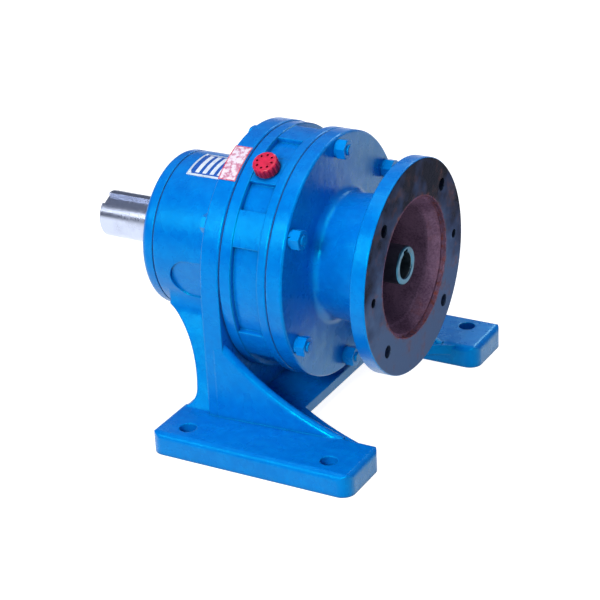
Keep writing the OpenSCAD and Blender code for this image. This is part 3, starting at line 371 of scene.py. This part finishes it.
def stained(name, base, stain, stains, gloss, grain, edge_radius, metallic=0.0):
    """Base colour under stains. stains: noise scale, low, high; grain: noise scale, depth;
    gloss: one roughness, or noise scale, lowest and highest roughness."""
    material, tree, shader = new_material(name)
    scale, low, high = stains
    colour = mix_colour(tree, remap(tree, noise(tree, scale, 4.0), low, high), base, stain)
    if isinstance(gloss, tuple):
        scale, low, high = gloss
        gloss = remap(tree, noise(tree, scale, 3.0), 0.3, 0.7, low, high)
    scale, depth = grain
    normal = bump(tree, noise(tree, scale, 3.0), depth, soft_edges(tree, edge_radius))
    finish_shader(tree, shader, colour, gloss, normal, metallic)
    return material


def make_gasket_paper():
    return stained("gasket_paper", (0.0, 0.07, 0.30, 1), (0.0, 0.03, 0.14, 1),
                   (240.0, 0.35, 0.6), 0.6, (900.0, 0.0002), 0.0002)


def make_black_steel():
    return stained("black_steel", (0.05, 0.05, 0.055, 1), (0.11, 0.105, 0.10, 1),
                   (160.0, 0.35, 0.7), (400.0, 0.3, 0.5), (800.0, 0.00004), 0.0003, 0.8)


def make_copper():
    return stained("copper", (0.72, 0.33, 0.18, 1), (0.35, 0.15, 0.09, 1),
                   (220.0, 0.35, 0.7), 0.34, (600.0, 0.00005), 0.0003, 1.0)


def make_seal_rubber():
    return stained("seal_rubber", (0.018, 0.018, 0.022, 1), (0.055, 0.05, 0.055, 1),
                   (260.0, 0.5, 0.8), (180.0, 0.4, 0.6), (700.0, 0.00008), 0.0004)


def make_cage_brass():
    return stained("cage_brass", (0.72, 0.5, 0.2, 1), (0.45, 0.28, 0.1, 1),
                   (140.0, 0.35, 0.7), (300.0, 0.22, 0.36), (500.0, 0.00005), 0.0003, 1.0)


# ---- Steels -------------------------------------------------------------------------

GRAIN_SCALE = 900.0
HUB_END_SKIN = 0.0016
HUB_BORE_SKIN = 0.0002
HUB_RING = (0.05, 0.18, 0.28, 1)
HUB_RING_WORN = (0.03, 0.09, 0.14, 1)


def turned_steel(name, bright, dull, gloss_range, pitch=0.0006, depth=0.000006):
    """Bare steel with fine marks round the shafts' axis."""
    material, tree, shader = new_material(name)
    x, far, _ = round_place(tree)
    normal = soft_edges(tree, BARE_EDGE_R)
    band = node(tree, "ShaderNodeCombineXYZ", {0: maths(tree, "MULTIPLY", x, GRAIN_SCALE),
                                               1: maths(tree, "MULTIPLY", far, GRAIN_SCALE)}).outputs[0]
    grain = noise(tree, 1.0, 3.0, 0.7, band)
    stains = remap(tree, noise(tree, 70.0, 4.0), 0.4, 0.75)
    colour = mix_colour(tree, maths(tree, "MULTIPLY", stains, 0.5), bright, dull)
    colour = mix_colour(tree, maths(tree, "MULTIPLY", grain, 0.35), colour, dull)
    low, high = gloss_range
    gloss = remap(tree, maths(tree, "ADD", maths(tree, "MULTIPLY", grain, 0.5),
                              maths(tree, "MULTIPLY", stains, 0.5)), 0.2, 0.8, low, high)
    marks = turning_marks(tree, maths(tree, "ADD", x, far), pitch)
    ridges = bump(tree, marks, depth, normal, 0.5)
    finish_shader(tree, shader, colour, gloss, bump(tree, grain, 0.00001, ridges, 0.6), 1.0)
    return material, tree, shader, x, far


def make_ground_steel():
    return turned_steel("ground_steel", (0.56, 0.62, 0.78, 1), (0.36, 0.39, 0.50, 1), (0.2, 0.34))[0]


def make_bearing_steel():
    return turned_steel("bearing_steel", (0.72, 0.73, 0.75, 1), (0.5, 0.5, 0.52, 1), (0.1, 0.2),
                        0.0004, 0.000003)[0]


def make_disc_steel():
    return turned_steel("disc_steel", (0.46, 0.47, 0.5, 1), (0.28, 0.28, 0.31, 1), (0.22, 0.36))[0]


def make_dark_steel():
    """Blued hub with a darker, worn ring on its end."""
    material, tree, shader, x, far = turned_steel("dark_steel", (0.24, 0.34, 0.40, 1),
                                                  (0.09, 0.14, 0.18, 1), (0.3, 0.45), 0.0008)
    end = maths(tree, "MULTIPLY", step_up(tree, x, HUB_END - HUB_END_SKIN),
                step_up(tree, far, HUB_BORE_R + HUB_BORE_SKIN))
    base = shader.inputs["Base Color"].links[0].from_socket
    worn = remap(tree, noise(tree, 120.0, 4.0), 0.35, 0.7)
    ring = mix_colour(tree, worn, HUB_RING, HUB_RING_WORN)
    join(tree, shader.inputs["Base Color"], mix_colour(tree, end, base, ring))
    return material


# ---- Nameplate ----------------------------------------------------------------------

PLATE_FRAME = 0.0022
PLATE_HEAD = 0.0075
PLATE_SKIN = 0.0001
RIVET_SKIN = 0.0003
ROW_PITCH = 0.0078
ROW_FILL = 0.54
ROW_LENGTH = 0.9
PLATE_INK = (0.01, 0.09, 0.42, 1)
PLATE_ROW = (0.78, 0.84, 0.9, 1)
PLATE_METAL = (0.78, 0.86, 0.95, 1)
PLATE_METAL_DULL = (0.55, 0.66, 0.80, 1)


def make_plate_aluminium():
    """Bare metal frame round blank dark and light rows that run round the barrel."""
    material, tree, shader = new_material("plate_aluminium")
    x, far, turn = round_place(tree)
    half = (PLATE_STOP - PLATE_START) / 2 - PLATE_FRAME / PLATE_R
    along = maths(tree, "SUBTRACT", x, PLATE_LOW.x)
    length = PLATE_HIGH.x - PLATE_LOW.x
    in_x = maths(tree, "MULTIPLY", step_up(tree, along, PLATE_FRAME),
                 maths(tree, "LESS_THAN", along, length - PLATE_FRAME))
    off = maths(tree, "ABSOLUTE", maths(tree, "SUBTRACT", turn, (PLATE_START + PLATE_STOP) / 2))
    field = maths(tree, "MULTIPLY", in_x, maths(tree, "LESS_THAN", off, half))
    face = step_up(tree, far, PLATE_R - PLATE_SKIN)
    under_rivets = maths(tree, "LESS_THAN", far, PLATE_R + RIVET_SKIN)
    field = maths(tree, "MULTIPLY", field, maths(tree, "MULTIPLY", face, under_rivets))
    past_head = maths(tree, "SUBTRACT", along, PLATE_HEAD)
    row = maths(tree, "FRACT", maths(tree, "DIVIDE", past_head, ROW_PITCH))
    light = maths(tree, "MULTIPLY", maths(tree, "LESS_THAN", row, ROW_FILL),
                  step_up(tree, along, PLATE_HEAD))
    light = maths(tree, "MULTIPLY", light, maths(tree, "LESS_THAN", off, half * ROW_LENGTH))
    smudge = remap(tree, noise(tree, 300.0, 4.0), 0.3, 0.7, 0.75, 1.0)
    printed = mix_colour(tree, maths(tree, "MULTIPLY", light, smudge), PLATE_INK, PLATE_ROW)
    stains = remap(tree, noise(tree, 150.0, 4.0), 0.35, 0.7)
    metal = mix_colour(tree, stains, PLATE_METAL, PLATE_METAL_DULL)
    colour = mix_colour(tree, field, metal, printed)
    gloss = remap(tree, noise(tree, 240.0, 3.0), 0.3, 0.7, 0.24, 0.36)
    metallic = mix_value(tree, field, 0.3, 0.1)
    normal = bump(tree, field, 0.00012, soft_edges(tree, 0.0003), 0.6)
    normal = bump(tree, noise(tree, 120.0, 2.0), 0.0002, normal, 0.4)
    finish_shader(tree, shader, colour, gloss, normal, metallic)
    return material


# ---- Assigning the finishes to the record's slots ------------------------------------

FINISHES = {
    "blue_paint": make_blue_paint(),
    "cover_casting": make_cover_casting(),
    "painted_fastener": make_painted_fastener(),
    "gasket_paper": make_gasket_paper(),
    "black_steel": make_black_steel(),
    "red_plastic": make_red_plastic(),
    "copper": make_copper(),
    "plate_aluminium": make_plate_aluminium(),
    "seal_rubber": make_seal_rubber(),
    "bearing_steel": make_bearing_steel(),
    "ground_steel": make_ground_steel(),
    "dark_steel": make_dark_steel(),
    "disc_steel": make_disc_steel(),
    "cage_brass": make_cage_brass(),
}

for part in frame["record"]["subparts"]:
    mesh = frame["nodes"][part["node"]].data
    mesh.materials.clear()
    mesh.materials.append(FINISHES[part["material_slot"]])

# ---- Paper label on the rim of the base flange ---------------------------------------

LABEL_START = radians(20.0)
LABEL_STOP = radians(39.5)
LABEL_BACK = RING_BACK - 0.0188
LABEL_FRONT = RING_BACK - 0.0012
LABEL_T = 0.00015
LABEL_LIFT = 0.0003
LABEL_BORDER = 0.0011
LABEL_STEPS = 24
PAPER = (0.66, 0.60, 0.70, 1)
PAPER_BLOTCH = (0.46, 0.16, 0.26, 1)
PAPER_BORDER = (0.50, 0.03, 0.08, 1)


def make_label_paper():
    """Pinkish paper with a red border and faint blotches, without words."""
    material, tree, shader = new_material("label_paper")
    x, _, turn = round_place(tree)
    mid_x, half_x = (LABEL_BACK + LABEL_FRONT) / 2, (LABEL_FRONT - LABEL_BACK) / 2
    mid_turn, half_turn = (LABEL_START + LABEL_STOP) / 2, (LABEL_STOP - LABEL_START) / 2
    off_x = maths(tree, "ABSOLUTE", maths(tree, "SUBTRACT", x, mid_x))
    off_turn = maths(tree, "ABSOLUTE", maths(tree, "SUBTRACT", turn, mid_turn))
    border = maths(tree, "MAXIMUM", step_up(tree, off_x, half_x - LABEL_BORDER),
                   step_up(tree, off_turn, half_turn - LABEL_BORDER / DISC_R))
    blotches = remap(tree, noise(tree, 260.0, 3.0, 0.6), 0.46, 0.6)
    paper = mix_colour(tree, blotches, PAPER, PAPER_BLOTCH)
    print_wear = remap(tree, noise(tree, 400.0, 3.0), 0.3, 0.6, 0.55, 1.0)
    edge = mix_colour(tree, print_wear, paper, PAPER_BORDER)
    normal = bump(tree, noise(tree, 500.0, 3.0), 0.00006, soft_edges(tree, 0.0001))
    finish_shader(tree, shader, mix_colour(tree, border, paper, edge), 0.38, normal)
    return material


def make_label():
    """Thin curved sheet that follows the rim of the flange."""
    def ring_point(x, r, turn):
        return (x, -r * sin(turn), AXIS_Z + r * cos(turn))

    low_r, high_r = DISC_R + LABEL_LIFT, DISC_R + LABEL_LIFT + LABEL_T
    points, faces = [], []
    for step in range(LABEL_STEPS + 1):
        turn = LABEL_START + (LABEL_STOP - LABEL_START) * step / LABEL_STEPS
        corners = ((LABEL_BACK, low_r), (LABEL_FRONT, low_r),
                   (LABEL_FRONT, high_r), (LABEL_BACK, high_r))
        points += [ring_point(x, r, turn) for x, r in corners]
    for step in range(LABEL_STEPS):
        a, b = 4 * step, 4 * step + 4
        faces += [(a + i, b + i, b + (i + 1) % 4, a + (i + 1) % 4) for i in range(4)]
    faces += [(0, 1, 2, 3), (a + 7, a + 6, a + 5, a + 4)]
    mesh = bpy.data.meshes.new("paper_label")
    mesh.from_pydata(points, [], faces)
    mesh.materials.append(make_label_paper())
    label = bpy.data.objects.new("paper_label", mesh)
    bpy.context.scene.collection.objects.link(label)
    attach(label, "housing")


make_label()

# ---- Stage --------------------------------------------------------------------------

FLOOR_HALF = 12.0
FLOOR_GREY = (0.42, 0.42, 0.42, 1)
FLOOR_GLOW = 0.92
FLOOR_ROUGHNESS = 0.9
AMBIENT_LOW = (0.08, 0.09, 0.13, 1)
AMBIENT_HIGH = (0.18, 0.20, 0.26, 1)
HORIZON_FADE = 0.06


def seen_directly(tree):
    """1 for rays from the camera and for reflections, 0 for the light that falls on things."""
    path = node(tree, "ShaderNodeLightPath")
    mirror = maths(tree, "MAXIMUM", path.outputs["Is Glossy Ray"], path.outputs["Is Transmission Ray"])
    return maths(tree, "MAXIMUM", path.outputs["Is Camera Ray"], mirror)


def make_floor():
    """Pale floor that fades into the white background and keeps a faint contact shadow."""
    h = FLOOR_HALF
    mesh = bpy.data.meshes.new("floor")
    mesh.from_pydata([(-h, -h, 0), (h, -h, 0), (h, h, 0), (-h, h, 0)], [], [(0, 1, 2, 3)])
    floor = bpy.data.objects.new("floor", mesh)
    bpy.context.scene.collection.objects.link(floor)
    material, tree, shader = new_material("floor_white")
    join(tree, shader.inputs["Base Color"], FLOOR_GREY)
    join(tree, shader.inputs["Roughness"], FLOOR_ROUGHNESS)
    join(tree, shader.inputs["Emission Color"], WHITE)
    glow = maths(tree, "MULTIPLY", seen_directly(tree), FLOOR_GLOW)
    join(tree, shader.inputs["Emission Strength"], glow)
    mesh.materials.append(material)


def area_light(name, place, size, power, colour):
    data = bpy.data.lights.new(name, "AREA")
    data.size = size
    data.energy = power
    data.color = colour
    light = bpy.data.objects.new(name, data)
    light.location = place
    light.rotation_euler = (Vector(OBJECT_MID) - Vector(place)).to_track_quat("-Z", "Y").to_euler()
    bpy.context.scene.collection.objects.link(light)


def make_world():
    """Soft bluish studio that lights the object.

    The camera sees white, and reflections see white near the horizon only."""
    world = bpy.data.worlds.new("studio")
    bpy.context.scene.world = world
    world.use_nodes = True
    tree = world.node_tree
    up = node(tree, "ShaderNodeSeparateXYZ", {0: node(tree, "ShaderNodeTexCoord").outputs["Generated"]})
    height = remap(tree, up.outputs["Z"], 0.0, 0.8)
    studio = mix_colour(tree, height, AMBIENT_LOW, AMBIENT_HIGH)
    horizon = remap(tree, up.outputs["Z"], 0.0, HORIZON_FADE, 1.0, 0.0)
    camera_ray = node(tree, "ShaderNodeLightPath").outputs["Is Camera Ray"]
    white = maths(tree, "MAXIMUM", camera_ray, maths(tree, "MULTIPLY", seen_directly(tree), horizon))
    join(tree, tree.nodes["Background"].inputs["Color"], mix_colour(tree, white, studio, WHITE))


OBJECT_MID = (0.0, 0.0, 0.13)
NEUTRAL = (1, 1, 1)
WARM = (1.0, 1.0, 0.97)
# name, place, size in metres, power in watts, colour
LAMPS = (
    ("key", (0.1, -1.8, 1.15), 0.6, 33, WARM),
    ("left", (-0.85, -1.45, 1.15), 0.7, 6.5, NEUTRAL),
    ("overhead", (0.1, -0.1, 1.75), 1.3, 15, NEUTRAL),
    ("front", (1.6, -1.2, 0.5), 0.6, 2.4, NEUTRAL),
    ("back", (-0.2, 1.5, 1.2), 0.6, 6, NEUTRAL),
)

make_floor()
make_world()
for lamp in LAMPS:
    area_light(*lamp)

# ---- Camera -------------------------------------------------------------------------

CAMERA_PLACE = (0.8048, -1.4403, 0.8838)
CAMERA_AZIMUTH = radians(30.18)
CAMERA_ELEVATION = radians(25.53)
CAMERA_ROLL = radians(-2.99)
CAMERA_LENS = 117.66
CAMERA_SHIFT_Y = 0.01


def make_camera():
    data = bpy.data.cameras.new("camera")
    data.sensor_width = 36
    data.lens = CAMERA_LENS
    data.shift_y = CAMERA_SHIFT_Y
    camera = bpy.data.objects.new("camera", data)
    camera.matrix_world = (Matrix.Translation(CAMERA_PLACE)
                           @ Matrix.Rotation(CAMERA_AZIMUTH, 4, "Z")
                           @ Matrix.Rotation(pi / 2 - CAMERA_ELEVATION, 4, "X")
                           @ Matrix.Rotation(CAMERA_ROLL, 4, "Z"))
    bpy.context.scene.collection.objects.link(camera)
    bpy.context.scene.camera = camera


make_camera()
bpy.context.scene.view_settings.view_transform = "Standard"
